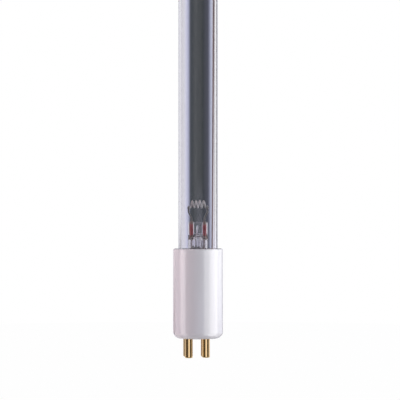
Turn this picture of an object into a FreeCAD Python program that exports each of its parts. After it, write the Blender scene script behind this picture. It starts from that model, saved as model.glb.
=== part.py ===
# Germicidal discharge lamp tube with a four-pin base at one end, in millimetres.
# The lamp's axis is Z. The end face of the base cap lies at z = 0, the contact
# pins point down from it, and the glass tube runs up to the plain far cap.
import FreeCAD, Part
import os
from math import acos, atan2, cos, degrees, pi, radians, sin, sqrt, tan

# Lamp body
body_length = 212.0            # end face of the base cap to the end face of the far cap

# Glass tube
tube_outer_r = 7.5
tube_wall = 1.0
shoulder_inner_round = 1.0     # inside rounding where each tube end turns in to its neck

# Caps
cap_wall = 1.3
cement_gap = 0.7               # radial room between the tube and the cap's bore
base_cap_length = 34.2
base_cap_floor = 6.0
far_cap_length = 20.0
far_cap_floor = 2.0
cap_end_round = 2.6
cap_mouth_round = 0.5
tube_depth_in_base = 18.0
tube_depth_in_far_cap = 14.0
cement_recess = 1.0            # cement's face below the cap's mouth
cement_length = 13.5
far_cement_length = 9.5

# Contact pins
pin_r = 1.5
pin_reach = 7.25               # below the cap's end face
pin_tip_round = 0.8
pin_shank_r = 1.7              # inside the cap's floor
pin_hole_clearance = 0.05
pin_bore_r = 0.7
pin_tip_wall = 1.6             # solid brass left under the blind bore
pin_dimple_r = 0.6
pin_dimple_depth = 0.25
collar_r = 2.0
collar_height = 1.0
collar_wall_gap = 0.45         # from the wide row's collars to the cap's bore
narrow_row_inset = 1.9         # how much nearer to the axis the other two pins stand
wide_row_angle = 132.0         # degrees from +X to each side
narrow_row_angle = 43.0
pattern_turn = 4.5             # degrees that the pin pattern is turned about the axis

# Electrode mount: flared stem, flattened press, wires and coil
stem_outer_r = 3.8
stem_wall = 0.8
stem_height = 28.1             # tube end to the top of the press
press_height = 4.6
press_taper = 2.2              # height over which the round stem is pressed flat
press_lobe_r = 1.25            # round lobe of glass about each seal wire
press_web_half = 1.0           # half thickness of the flat web between the lobes
press_web_round = 0.6          # where the web runs out to a lobe
press_top_round = 0.4
lobe_split = 38.0              # degrees from +X on the round section that flow to the end of
web_split = 56.0               # a lobe and to the end of the web
hollow_taper = 1.2             # height of the cone that closes the stem's hollow
exhaust_outer_r = 1.6
exhaust_bore_r = 0.8
exhaust_tip_height = 1.0       # closed tip above the tube end
vent_r = 0.35                  # slanting hole from the exhaust bore to the front of the press
vent_root_side = 0.5           # to the left of the axis, where the vent leaves the bore
vent_mouth_side = 0.25
vent_mouth_rise = 2.4          # middle of the vent's mouth above the press's foot
seal_wire_r = 0.5
seal_wire_tail = 0.3           # length below the stem's taper
seal_wire_head = 0.3           # length above the press
lead_wire_r = 0.3
lead_wall_gap = 0.25           # between the outer wires and the stem's inside wall
lead_spread = 1.15             # how far each lead stands out from its seal wire
lead_straight = 1.0            # straight length above the seal wire
lead_shoulder = 3.6            # height over the seal wire where the lead is upright again
hook_clearance = 0.03
hook_drop = 1.1                # length of the hook's free end below its bend
coil_rise = 6.8                # press top to the coil's axis
coil_strand_r = 0.3
coil_mean_r = 1.28
coil_turns = 4
coil_steps = 8                 # arcs in each turn
coil_hook_gap = 0.4            # from the last turn's middle to each hook's side
coil_tail = 0.2                # strand's length past the hook
mercury_r = 0.7
mercury_clearance = 0.03

# Wiring
tail_wire_r = 0.3
return_wire_r = 0.27
wire_clearance = 0.12          # from the tube's outside to a return wire
front_return_angles = (-48.5, -33.0)   # degrees from +X at the base cap and at the far cap
rear_return_angles = (38.0, 24.0)
wire_bend = 2.0
wire_in_pin = 8.5              # length of wire inside a pin's bore
tail_drop = 1.6                # where the tails start to spread, below the tube end
pin_entry_rise = 2.4           # where a wire straightens, above a pin's collar
return_rise = 5.6              # where a return wire turns up the tube, above a pin's collar
return_over_end = 2.0          # height of a return wire over the tube's far end

# Places that follow from the sizes
bore_r = tube_outer_r + cement_gap
cap_outer_r = bore_r + cap_wall
tube_bottom = base_cap_length - tube_depth_in_base
tube_top = body_length - far_cap_length + tube_depth_in_far_cap
tube_middle = (tube_bottom + tube_top) / 2
shoulder_round = shoulder_inner_round + tube_wall
neck_r = tube_outer_r - shoulder_round
stem_inner_r = stem_outer_r - stem_wall
press_top = tube_bottom + stem_height
press_foot = press_top - press_height
stem_top = press_foot - press_taper
hollow_top = stem_top + hollow_taper
seal_x = stem_inner_r - lead_wall_gap - tail_wire_r
seal_bottom = stem_top - seal_wire_tail
seal_top = press_top + seal_wire_head
hook_x = seal_x + lead_spread
hook_r = coil_strand_r + hook_clearance + lead_wire_r
coil_z = press_top + coil_rise
coil_corner_r = coil_mean_r / cos(pi / coil_steps)
hook_z = coil_z - coil_corner_r
coil_half_length = hook_x - lead_wire_r - coil_hook_gap
collar_top = base_cap_floor + collar_height
wide_row_r = bore_r - collar_r - collar_wall_gap
narrow_row_r = wide_row_r - narrow_row_inset
return_wire_track = tube_outer_r + wire_clearance + return_wire_r

TOUCH = 1e-6
AXIS = FreeCAD.Vector(0, 0, 1)
ORIGIN = FreeCAD.Vector(0, 0, 0)


def at(x, y, z):
    return FreeCAD.Vector(x, y, z)


def around(radius, angle, z):
    """Point at a radius from the axis and an angle in degrees from +X."""
    return at(radius * cos(radians(angle)), radius * sin(radians(angle)), z)


# Outlines in the XZ plane and what is turned or cut from them

def arc(start, middle, end):
    return Part.Arc(start, middle, end).toShape()


def round_corner(centre_x, centre_z, radius, start, end):
    """Arc in the XZ plane by its centre, its radius and its end angles in degrees from +X."""
    def on_arc(angle):
        return at(centre_x + radius * cos(radians(angle)), 0, centre_z + radius * sin(radians(angle)))
    return arc(on_arc(start), on_arc((start + end) / 2), on_arc(end))


def ends(item):
    """First and last point of an arc, or the same point twice for a corner."""
    if isinstance(item, FreeCAD.Vector):
        return item, item
    return item.valueAt(item.FirstParameter), item.valueAt(item.LastParameter)


def closed_wire(*items):
    """Closed wire through corners and arcs in their order, with straight lines between them."""
    edges = []
    for item, following in zip(items, items[1:] + items[:1]):
        if not isinstance(item, FreeCAD.Vector):
            edges.append(item)
        here = ends(item)[1]
        there = ends(following)[0]
        if here.distanceToPoint(there) > TOUCH:
            edges.append(Part.LineSegment(here, there).toShape())
    return Part.Wire(edges)


def closed_face(*items):
    return Part.Face(closed_wire(*items))


def turned(face):
    return face.revolve(ORIGIN, AXIS, 360)


def rod(radius, bottom, top, x=0.0, y=0.0):
    return Part.makeCylinder(radius, top - bottom, at(x, y, bottom))


def at_far_end(shape):
    """The same piece at the tube's far end, mirrored about the tube's middle."""
    return shape.mirror(at(0, 0, tube_middle), AXIS)


# Wires: straight runs joined by tangent arcs

def turn_angle(before, corner, after):
    inward = (corner - before).normalize()
    outward = (after - corner).normalize()
    return acos(max(-1.0, min(1.0, inward.dot(outward))))


def bent_path(points, bend):
    """Wire through the points, each corner rounded by an arc that its two runs allow."""
    edges = []
    last = points[0]
    for before, corner, after in zip(points, points[1:], points[2:]):
        half = turn_angle(before, corner, after) / 2
        reach = min(bend * tan(half), (corner - before).Length / 2, (after - corner).Length / 2)
        back = (before - corner).normalize()
        onward = (after - corner).normalize()
        start = corner + back * reach
        end = corner + onward * reach
        radius = reach / tan(half)
        inside = (back + onward).normalize()
        middle = corner + inside * (radius / cos(half) - radius)
        if last.distanceToPoint(start) > TOUCH:
            edges.append(Part.LineSegment(last, start).toShape())
        edges.append(arc(start, middle, end))
        last = end
    edges.append(Part.LineSegment(last, points[-1]).toShape())
    return Part.Wire(edges)


def round_wire(points, radius, bend):
    path = bent_path(points, bend)
    end_face = Part.Wire(Part.makeCircle(radius, points[0], points[1] - points[0]))
    return path.makePipeShell([end_face], True, False)


# Glass tube

def make_tube():
    """Tube whose two ends turn in over rounded shoulders to the necks that the stems close."""
    low = tube_bottom + shoulder_round
    high = tube_top - shoulder_round
    return turned(closed_face(
        round_corner(neck_r, low, shoulder_round, 270, 360),
        round_corner(neck_r, high, shoulder_round, 0, 90),
        round_corner(neck_r, high, shoulder_inner_round, 90, 0),
        round_corner(neck_r, low, shoulder_inner_round, 360, 270)))


# Caps

def make_cap(length, floor):
    """Turned ceramic cap with a blind bore, its closed end at z = 0."""
    mouth = min(cap_mouth_round, 0.4 * cap_wall)
    end = min(cap_end_round, 0.8 * floor + cap_wall)
    return turned(closed_face(
        at(0, 0, 0),
        round_corner(cap_outer_r - end, end, end, 270, 360),
        round_corner(cap_outer_r - mouth, length - mouth, mouth, 0, 90),
        round_corner(bore_r + mouth, length - mouth, mouth, 90, 180),
        at(bore_r, 0, floor),
        at(0, 0, floor)))


def make_base_cap():
    cap = make_cap(base_cap_length, base_cap_floor)
    for spot in pin_spots():
        cap = cap.cut(rod(pin_shank_r + pin_hole_clearance, -1, collar_top, spot.x, spot.y))
    return cap


def make_far_cap():
    cap = make_cap(far_cap_length, far_cap_floor)
    return cap.mirror(at(0, 0, body_length / 2), AXIS)


def make_cement(mouth, length, wires):
    """Ring of cement between a cap's bore and the tube, cast round the return wires."""
    inner_end = mouth - cement_recess - length
    ring = rod(bore_r, inner_end, mouth - cement_recess)
    ring = ring.cut(rod(tube_outer_r, inner_end - 1, mouth))
    for wire in wires:
        ring = ring.cut(wire)
    return ring


# Contact pins

def pin_spots():
    """Centres of the four pins: the wide row's front and rear, then the narrow row's."""
    return [
        around(wide_row_r, pattern_turn - wide_row_angle, 0),
        around(wide_row_r, pattern_turn + wide_row_angle, 0),
        around(narrow_row_r, pattern_turn - narrow_row_angle, 0),
        around(narrow_row_r, pattern_turn + narrow_row_angle, 0)]


def make_pin(spot):
    """Turned hollow pin with a dimpled round tip, a thicker shank and a collar on the cap's floor."""
    tip = -pin_reach
    pin = turned(closed_face(
        at(0, 0, tip + pin_dimple_depth),
        at(pin_dimple_r, 0, tip),
        round_corner(pin_r - pin_tip_round, tip + pin_tip_round, pin_tip_round, 270, 360),
        at(pin_r, 0, 0),
        at(pin_shank_r, 0, 0),
        at(pin_shank_r, 0, base_cap_floor),
        at(collar_r, 0, base_cap_floor),
        at(collar_r, 0, collar_top),
        at(pin_bore_r, 0, collar_top),
        at(pin_bore_r, 0, tip + pin_tip_wall),
        at(0, 0, tip + pin_tip_wall)))
    pin.translate(spot)
    return pin


# Stem glass

def press_section(z):
    """Flat web between two round lobes, one about each seal wire, joined by hollow rounds."""
    hollow_y = press_web_half + press_web_round
    hollow_x = seal_x - sqrt((press_lobe_r + press_web_round) ** 2 - hollow_y ** 2)
    lobe_end = degrees(atan2(hollow_y, hollow_x - seal_x))
    edges = []
    for turn in (0, 180):
        lobe = around(seal_x, turn, z)
        for start, end in ((-lobe_end, 0), (0, lobe_end)):
            edges.append(arc(*(lobe + around(press_lobe_r, turn + angle, 0)
                               for angle in (start, (start + end) / 2, end))))
        hollow = at(hollow_x, hollow_y, 0)
        other = at(-hollow_x, hollow_y, 0)
        web = []
        for centre, start, end in ((hollow, lobe_end - 180, -90), (other, -90, -lobe_end)):
            web.append([centre + around(press_web_round, angle, 0) for angle in (start, (start + end) / 2, end)])
        way = 1 if turn == 0 else -1
        near, far = ([at(way * point.x, way * point.y, z) for point in side] for side in web)
        edges += [arc(*near), Part.LineSegment(near[2], far[0]).toShape(), arc(*far)]
    return Part.Wire(edges)


def round_section(z):
    """The stem's circle, cut into the same ten edges as the press section."""
    half = [-lobe_split, 0, lobe_split, web_split, 180 - web_split, 180 - lobe_split]
    edges = []
    for turn in (0, 180):
        for start, end in zip(half, half[1:]):
            edges.append(arc(*(around(stem_outer_r, turn + angle, z) for angle in (start, (start + end) / 2, end))))
    return Part.Wire(edges)


def make_press():
    """The flattened top of the stem: a taper from round to flat under a slab with eased edges."""
    foot = press_section(press_foot)
    taper = Part.makeLoft([round_section(stem_top), foot], True, True)
    slab = Part.Face(foot)
    slab = slab.extrude(at(0, 0, press_height))
    rim = [edge for edge in slab.Edges if edge.BoundBox.ZMin > press_top - TOUCH]
    slab = slab.makeFillet(press_top_round, rim)
    return taper.fuse(slab)


def make_vent():
    """Slanting round hole from the top of the exhaust bore out through the front of the press."""
    root = at(-vent_root_side, 0, press_foot - vent_r)
    mouth = at(-vent_mouth_side, -press_web_half, press_foot + vent_mouth_rise)
    way = mouth - root
    return Part.makeCylinder(vent_r, 2 * way.Length, root, way)


def make_stem(with_exhaust):
    """Flared stem tube fused to the tube's neck, closed at its top by the press."""
    flare_round = neck_r - stem_outer_r
    flare_z = tube_bottom + tube_wall + flare_round
    inside_middle = flare_round + (tube_wall + stem_wall) / 2
    stem = turned(closed_face(
        round_corner(neck_r, flare_z, flare_round, 270, 180),
        at(stem_outer_r, 0, stem_top),
        at(stem_inner_r, 0, stem_top),
        arc(at(stem_inner_r, 0, flare_z),
            at(neck_r - inside_middle * sqrt(0.5), 0, flare_z - inside_middle * sqrt(0.5)),
            at(neck_r, 0, tube_bottom))))
    hollow = Part.makeCone(stem_inner_r, exhaust_outer_r, hollow_taper, at(0, 0, stem_top))
    stem = stem.fuse(make_press().cut(hollow))
    if with_exhaust:
        dome = tube_bottom + exhaust_tip_height + exhaust_outer_r
        tip = Part.makeSphere(exhaust_outer_r, at(0, 0, dome))
        tube = rod(exhaust_outer_r, dome, hollow_top).fuse(tip)
        stem = stem.fuse(tube).cut(rod(exhaust_bore_r, dome, press_foot)).cut(make_vent())
    for side in (-1, 1):
        stem = stem.cut(rod(seal_wire_r, seal_bottom, seal_top, side * seal_x))
    return stem.removeSplitter()


# Wires of the mount

def make_seal_wire(side):
    return rod(seal_wire_r, seal_bottom, seal_top, side * seal_x)


def make_lead_wire(side):
    """Wire from the seal up to a hook that holds the coil's end at its bend."""
    hook_top = hook_z + hook_r
    return round_wire([
        at(side * seal_x, 0, seal_top),
        at(side * seal_x, 0, seal_top + lead_straight),
        at(side * hook_x, -hook_r, seal_top + lead_shoulder),
        at(side * hook_x, -hook_r, hook_top),
        at(side * hook_x, hook_r, hook_top),
        at(side * hook_x, hook_r, hook_z - hook_drop)], lead_wire_r, hook_r)


def make_coil():
    """Coiled filament across the tube, its ends run out through the leads' hooks under the turns."""
    steps = coil_turns * coil_steps
    turns = []
    for step in range(steps + 1):
        angle = 2 * pi * step / coil_steps
        along = coil_half_length * (2 * step / steps - 1)
        turns.append(at(along, coil_corner_r * sin(angle), coil_z - coil_corner_r * cos(angle)))
    tail_x = hook_x + lead_wire_r + coil_tail
    points = [at(-tail_x, 0, hook_z)] + turns + [at(tail_x, 0, hook_z)]
    return round_wire(points, coil_strand_r, 2 * coil_mean_r)


# Wiring between the mounts and the pins

def make_tail_wire(side, spot):
    """Wire from a seal of the base mount down through the stem into a pin."""
    return round_wire([
        at(side * seal_x, 0, seal_bottom),
        at(side * seal_x, 0, tube_bottom - tail_drop),
        at(spot.x, spot.y, collar_top + pin_entry_rise),
        at(spot.x, spot.y, collar_top - wire_in_pin)], tail_wire_r, wire_bend)


def make_return_wire(side, spot, angles):
    """Wire from a seal of the far mount, down the tube's outside on a slight slant, into a pin."""
    over = tube_top + return_over_end
    base_angle, far_angle = angles
    far_seal = 2 * tube_middle - seal_bottom
    return round_wire([
        at(side * seal_x, 0, far_seal),
        at(side * seal_x, 0, over),
        around(return_wire_track, far_angle, over),
        around(return_wire_track, base_angle, collar_top + return_rise),
        at(spot.x, spot.y, collar_top + pin_entry_rise),
        at(spot.x, spot.y, collar_top - wire_in_pin)], return_wire_r, wire_bend)


def make_mercury_bead():
    """Bead of mercury lying in the trough between the flare and the tube's end."""
    return Part.makeSphere(mercury_r, at(0, -neck_r, tube_bottom + tube_wall + mercury_r + mercury_clearance))


# The whole lamp

def make_lamp():
    wide_front, wide_rear, narrow_front, narrow_rear = pin_spots()
    nodes = {
        "glass_tube": make_tube(),
        "base_cap": make_base_cap(),
        "far_cap": make_far_cap(),
        "base_stem": make_stem(with_exhaust=True),
        "far_stem": at_far_end(make_stem(with_exhaust=False)),
        "base_filament": make_coil(),
        "far_filament": at_far_end(make_coil()),
        "base_tail_wire_left": make_tail_wire(-1, wide_front),
        "base_tail_wire_right": make_tail_wire(1, wide_rear),
        "return_wire_front": make_return_wire(1, narrow_front, front_return_angles),
        "return_wire_rear": make_return_wire(-1, narrow_rear, rear_return_angles),
        "mercury_bead": make_mercury_bead(),
    }
    for number, spot in enumerate(pin_spots(), 1):
        nodes[f"contact_pin_{number}"] = make_pin(spot)
    for name, side in (("left", -1), ("right", 1)):
        nodes[f"base_seal_wire_{name}"] = make_seal_wire(side)
        nodes[f"far_seal_wire_{name}"] = at_far_end(make_seal_wire(side))
        nodes[f"base_lead_wire_{name}"] = make_lead_wire(side)
        nodes[f"far_lead_wire_{name}"] = at_far_end(make_lead_wire(side))
    returns = [nodes["return_wire_front"], nodes["return_wire_rear"]]
    nodes["base_cement"] = make_cement(base_cap_length, cement_length, returns)
    far_mouth = body_length - far_cap_length
    nodes["far_cement"] = make_cement(far_mouth + 2 * cement_recess + far_cement_length, far_cement_length, returns)
    return nodes


os.makedirs("parts", exist_ok=True)
for node, shape in make_lamp().items():
    shape.exportStep(os.path.join("parts", node + ".step"))
    print(f"{node:22s} valid {shape.isValid()} solids {len(shape.Solids)} volume {shape.Volume:9.3f} "
          f"z {shape.BoundBox.ZMin:8.3f} to {shape.BoundBox.ZMax:8.3f}")
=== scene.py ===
"""Germicidal lamp tube: glass, electrode mounts, caps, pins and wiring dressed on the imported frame."""
import logging
from dataclasses import dataclass, field
from enum import Enum
from math import atan2, cos, degrees, pi, radians, sin, sqrt, tan
from typing import Callable, Iterable, Sequence

import bmesh
import bpy
from mathutils import Matrix, Quaternion, Vector


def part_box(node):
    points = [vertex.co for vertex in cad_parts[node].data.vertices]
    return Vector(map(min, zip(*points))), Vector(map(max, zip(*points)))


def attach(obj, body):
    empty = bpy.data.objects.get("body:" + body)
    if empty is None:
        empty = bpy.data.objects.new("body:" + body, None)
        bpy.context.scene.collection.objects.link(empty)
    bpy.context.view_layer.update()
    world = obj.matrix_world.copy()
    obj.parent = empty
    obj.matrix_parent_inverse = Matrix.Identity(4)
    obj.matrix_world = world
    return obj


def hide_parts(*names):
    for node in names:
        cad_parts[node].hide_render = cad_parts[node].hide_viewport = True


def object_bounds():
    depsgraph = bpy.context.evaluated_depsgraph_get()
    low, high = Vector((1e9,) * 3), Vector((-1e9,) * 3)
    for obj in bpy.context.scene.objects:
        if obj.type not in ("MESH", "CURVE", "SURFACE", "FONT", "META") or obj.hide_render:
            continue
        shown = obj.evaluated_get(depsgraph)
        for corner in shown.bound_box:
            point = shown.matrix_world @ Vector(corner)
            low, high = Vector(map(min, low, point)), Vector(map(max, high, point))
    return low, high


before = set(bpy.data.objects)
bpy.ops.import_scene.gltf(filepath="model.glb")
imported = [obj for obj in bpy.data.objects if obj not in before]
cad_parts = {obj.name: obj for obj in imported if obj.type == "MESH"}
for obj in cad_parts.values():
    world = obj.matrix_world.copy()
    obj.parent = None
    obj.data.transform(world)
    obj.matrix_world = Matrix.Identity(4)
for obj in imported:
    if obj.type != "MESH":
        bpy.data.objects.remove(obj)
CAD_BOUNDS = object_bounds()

LOG = logging.getLogger("lamp")
MM = 0.001
UP = Vector((0.0, 0.0, 1.0))
MERGE_DISTANCE = 1e-7
NEARLY_STRAIGHT = radians(0.5)
TUBE_MIDDLE = sum(place.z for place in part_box("glass_tube")) / 2
WHITE = (1.0, 1.0, 1.0, 1.0)
Colour = tuple[float, float, float]
Mesh = bmesh.types.BMesh
SceneObject = bpy.types.Object
Socket = bpy.types.NodeSocket


class LampEnd(Enum):
    """The two ends of the tube, each with an electrode mount."""

    BASE = "base"
    FAR = "far"


class Side(Enum):
    """The two wires of an electrode mount, as seen in the photograph's view."""

    LEFT = -1
    RIGHT = 1

    @property
    def word(self) -> str:
        """The side's name in lower case."""
        return self.name.lower()


class ReturnWire(Enum):
    """The two wires from the far electrode, before and behind the tube's middle."""

    FRONT = "front"
    REAR = "rear"


class PanelShape(Enum):
    """The outline of a softbox's face."""

    RECTANGLE = "RECTANGLE"
    OVAL = "ELLIPSE"


# Routes, outlines and bmesh shapes

@dataclass(frozen=True)
class Corner:
    """A corner of an outline or a route, rounded by an arc."""

    place: Vector
    round: float = 0.0


def corner(x: float, z: float, rounding: float = 0.0) -> Corner:
    """A corner of an outline in the XZ plane, in millimetres."""
    return Corner(Vector((x, 0.0, z)) * MM, rounding * MM)


def arc_at(before: Vector, turn: Corner, after: Vector, steps: int) -> list[Vector]:
    """Points of the arc that rounds one corner.

    Args:
        before: The corner before this one.
        turn: The corner to round.
        after: The corner after this one.
        steps: Spans in the arc.

    Returns:
        The arc's points, or the corner itself where it is sharp.
    """
    back = (before - turn.place).normalized()
    onward = (after - turn.place).normalized()
    half = (pi - back.angle(onward)) / 2
    if turn.round <= 0.0 or half < NEARLY_STRAIGHT:
        return [turn.place.copy()]
    room = min((before - turn.place).length, (after - turn.place).length) / 2
    reach = min(turn.round * tan(half), room)
    start = turn.place + back * reach
    end = turn.place + onward * reach
    centre = turn.place + (back + onward).normalized() * (reach / tan(half) / cos(half))
    spoke = start - centre
    axis = spoke.cross(end - centre).normalized()
    return [centre + Quaternion(axis, 2 * half * step / steps) @ spoke for step in range(steps + 1)]


def rounded(corners: Sequence[Corner], steps: int = 8, closed: bool = False) -> list[Vector]:
    """Points along straight runs joined by arcs.

    Args:
        corners: The corners in their order.
        steps: Spans in each arc.
        closed: Whether the last corner joins the first.

    Returns:
        The points, with none repeated.
    """
    count = len(corners)
    points: list[Vector] = []
    for index, turn in enumerate(corners):
        if not closed and index in (0, count - 1):
            arc = [turn.place.copy()]
        else:
            arc = arc_at(corners[index - 1].place, turn, corners[(index + 1) % count].place, steps)
        points += [point for point in arc if not points or (point - points[-1]).length > MERGE_DISTANCE]
    return points


def spaced(points: Sequence[Vector], spacing: float) -> list[Vector]:
    """Points at even distances along a route.

    Args:
        points: The route's own points.
        spacing: About how far apart the new points lie.

    Returns:
        The new points, among them the route's own.
    """
    result = [points[0].copy()]
    for start, end in zip(points, points[1:]):
        count = max(1, round((end - start).length / spacing))
        result += [start.lerp(end, step / count) for step in range(1, count + 1)]
    return result


def turned_to(way: Vector, place: Vector) -> Matrix:
    """Transform that turns +Z to a direction and moves the origin to a place."""
    return Matrix.Translation(place) @ UP.rotation_difference(way).to_matrix().to_4x4()


def spun(outline: Sequence[Vector], steps: int, closed: bool) -> Mesh:
    """Solid of revolution about the lamp's axis.

    Args:
        outline: Points in the XZ plane.
        steps: Spans round the axis.
        closed: Whether the outline closes on itself, off the axis.

    Returns:
        A closed mesh with its normals outwards.
    """
    mesh = bmesh.new()
    verts = [mesh.verts.new(point) for point in outline]
    edges = [mesh.edges.new(pair) for pair in zip(verts, verts[1:])]
    if closed:
        edges.append(mesh.edges.new((verts[-1], verts[0])))
    bmesh.ops.spin(mesh, geom=verts + edges, cent=(0, 0, 0), axis=UP, dvec=(0, 0, 0),
                   angle=2 * pi, steps=steps, use_merge=True, use_duplicate=False)
    bmesh.ops.remove_doubles(mesh, verts=mesh.verts, dist=MERGE_DISTANCE)
    bmesh.ops.recalc_face_normals(mesh, faces=mesh.faces)
    return mesh


def swept(route: Sequence[Vector], radius: Callable[[float], float], sides: int) -> Mesh:
    """Round strand along a route, closed at both ends.

    Args:
        route: Points along the strand's middle.
        radius: The strand's radius at a distance along it.
        sides: Faces round the strand.

    Returns:
        A closed mesh with its normals outwards.
    """
    mesh = bmesh.new()
    heading = (route[1] - route[0]).normalized()
    size = radius(0.0)
    bmesh.ops.create_circle(mesh, cap_ends=True, radius=size, segments=sides,
                            matrix=turned_to(heading, route[0]))
    ring = list(mesh.edges)
    run = 0.0
    for index in range(1, len(route)):
        here = route[index]
        step = here - route[index - 1]
        run += step.length
        onward = route[min(index + 1, len(route) - 1)] - here
        tangent = step.normalized()
        if onward.length > 0:
            tangent = (tangent + onward.normalized()).normalized()
        grown = bmesh.ops.extrude_edge_only(mesh, edges=ring)["geom"]
        verts = [item for item in grown if isinstance(item, bmesh.types.BMVert)]
        ring = [item for item in grown if isinstance(item, bmesh.types.BMEdge)
                and all(vert in verts for vert in item.verts)]
        bmesh.ops.translate(mesh, vec=step, verts=verts)
        turn = heading.rotation_difference(tangent).to_matrix()
        bmesh.ops.rotate(mesh, cent=here, matrix=turn, verts=verts)
        scale = radius(run) / size
        bmesh.ops.scale(mesh, vec=(scale, scale, scale), space=Matrix.Translation(-here), verts=verts)
        size *= scale
        heading = tangent
    bmesh.ops.edgeloop_fill(mesh, edges=ring)
    bmesh.ops.recalc_face_normals(mesh, faces=mesh.faces)
    return mesh


def carved(mesh: Mesh, cutter: Mesh) -> Mesh:
    """The mesh with a cutter's shape taken out of it.

    Args:
        mesh: The closed mesh to cut, which is freed.
        cutter: The closed mesh to take away, which is freed.

    Returns:
        The cut mesh.
    """
    made = []
    for part in (mesh, cutter):
        data = bpy.data.meshes.new("carving")
        part.to_mesh(data)
        part.free()
        made.append(bpy.data.objects.new("carving", data))
        bpy.context.scene.collection.objects.link(made[-1])
    body, tool = made
    cut = body.modifiers.new("cut", "BOOLEAN")
    cut.operation = "DIFFERENCE"
    cut.solver = "EXACT"
    cut.object = tool
    result = bmesh.new()
    result.from_object(body, bpy.context.evaluated_depsgraph_get())
    for thing in made:
        data = thing.data
        bpy.data.objects.remove(thing)
        bpy.data.meshes.remove(data)
    return result


def rod(radius: float, start: Vector, end: Vector, sides: int = 64) -> Mesh:
    """Closed round rod between two points.

    Args:
        radius: The rod's radius in metres.
        start: The middle of one end.
        end: The middle of the other end.
        sides: Faces round the rod.

    Returns:
        A closed mesh with its normals outwards.
    """
    mesh = bmesh.new()
    way = end - start
    bmesh.ops.create_cone(mesh, cap_ends=True, segments=sides, radius1=radius, radius2=radius,
                          depth=way.length, matrix=turned_to(way.normalized(), (start + end) / 2))
    return mesh


def mirrored(mesh: Mesh, height: float) -> Mesh:
    """The mesh mirrored about a level plane.

    Args:
        mesh: The mesh, which is changed.
        height: The plane's height in metres.

    Returns:
        The same mesh, with its normals outwards again.
    """
    bmesh.ops.scale(mesh, vec=(1, 1, -1), space=Matrix.Translation((0, 0, -height)), verts=mesh.verts)
    bmesh.ops.recalc_face_normals(mesh, faces=mesh.faces)
    return mesh


# Shader nodes

class NodeBoard:
    """Short calls to place and join nodes in one tree."""

    def __init__(self, tree: bpy.types.NodeTree) -> None:
        """Clears the tree and keeps it."""
        self.tree = tree
        tree.nodes.clear()

    def add(self, kind: str, inputs: dict | None = None, **settings: object) -> bpy.types.Node:
        """Places a node.

        Args:
            kind: The node's class name.
            inputs: Values or output sockets, by input name or number.
            settings: Attributes of the node.

        Returns:
            The node.
        """
        node = self.tree.nodes.new(kind)
        for name, value in settings.items():
            setattr(node, name, value)
        for name, value in (inputs or {}).items():
            if isinstance(value, Socket):
                self.tree.links.new(value, node.inputs[name])
            else:
                node.inputs[name].default_value = value
        return node

    def maths(self, operation: str, *values: object) -> Socket:
        """The result of a Math node."""
        return self.add("ShaderNodeMath", dict(enumerate(values)), operation=operation).outputs[0]

    def rise(self, value: Socket, start: float, end: float) -> Socket:
        """A share that goes from 0 to 1 as a value goes from start to end."""
        limits = {"Value": value, "From Min": start, "From Max": end}
        return self.add("ShaderNodeMapRange", limits).outputs[0]

    def noise(self, place: Socket, scale: Socket, detail: float) -> Socket:
        """The grey of a Noise Texture."""
        inputs = {"Vector": place, "Scale": scale, "Detail": detail}
        return self.add("ShaderNodeTexNoise", inputs).outputs["Fac"]

    def mix(self, share: Socket, first: object, second: object) -> Socket:
        """A colour between two others, by a share."""
        inputs = {0: share, "A": first, "B": second}
        return self.add("ShaderNodeMix", inputs, data_type="RGBA").outputs["Result"]

    def ramp(self, factor: Socket, stops: Iterable[tuple[float, Colour]]) -> Socket:
        """The colour of a Color Ramp.

        Args:
            factor: The place on the ramp, from 0 to 1.
            stops: Each stop's place and colour.

        Returns:
            The colour at that place.
        """
        node = self.add("ShaderNodeValToRGB", {"Fac": factor})
        stops = list(stops)
        band = node.color_ramp
        while len(band.elements) < len(stops):
            band.elements.new(0.5)
        for element, (place, colour) in zip(band.elements, stops):
            element.position = place
            element.color = (*colour, 1.0)
        return node.outputs["Color"]


def grain_group() -> bpy.types.NodeTree:
    """Soft mottling shared by the finishes: a mask and a height from two scales of noise.

    Returns:
        The node group, built once.
    """
    name = "surface_grain"
    if name in bpy.data.node_groups:
        return bpy.data.node_groups[name]
    group = bpy.data.node_groups.new(name, "ShaderNodeTree")
    board = NodeBoard(group)
    face = group.interface
    for label, usual in (("Scale", 400.0), ("Fine", 6.0), ("Stretch", 1.0), ("Contrast", 0.5)):
        socket = face.new_socket(name=label, in_out="INPUT", socket_type="NodeSocketFloat")
        socket.default_value = usual
    for label in ("Mask", "Height"):
        face.new_socket(name=label, in_out="OUTPUT", socket_type="NodeSocketFloat")
    given = board.add("NodeGroupInput").outputs
    place = board.add("ShaderNodeTexCoord").outputs["Object"]
    stretch = board.add("ShaderNodeCombineXYZ", {"X": 1.0, "Y": 1.0, "Z": given["Stretch"]}).outputs[0]
    place = board.add("ShaderNodeVectorMath", {0: place, 1: stretch}, operation="MULTIPLY").outputs[0]
    broad_share, fine_share = 0.6, 0.4
    broad = board.noise(place, given["Scale"], 3.0)
    fine = board.noise(place, board.maths("MULTIPLY", given["Scale"], given["Fine"]), 2.0)
    both = board.maths("ADD", board.maths("MULTIPLY", broad, broad_share),
                       board.maths("MULTIPLY", fine, fine_share))
    centred = board.maths("SUBTRACT", both, 0.5)
    mask = board.add("ShaderNodeMath", {0: centred, 1: given["Contrast"], 2: 0.5},
                     operation="MULTIPLY_ADD", use_clamp=True).outputs[0]
    board.add("NodeGroupOutput", {"Mask": mask, "Height": both})
    return group


# Finishes

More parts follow.
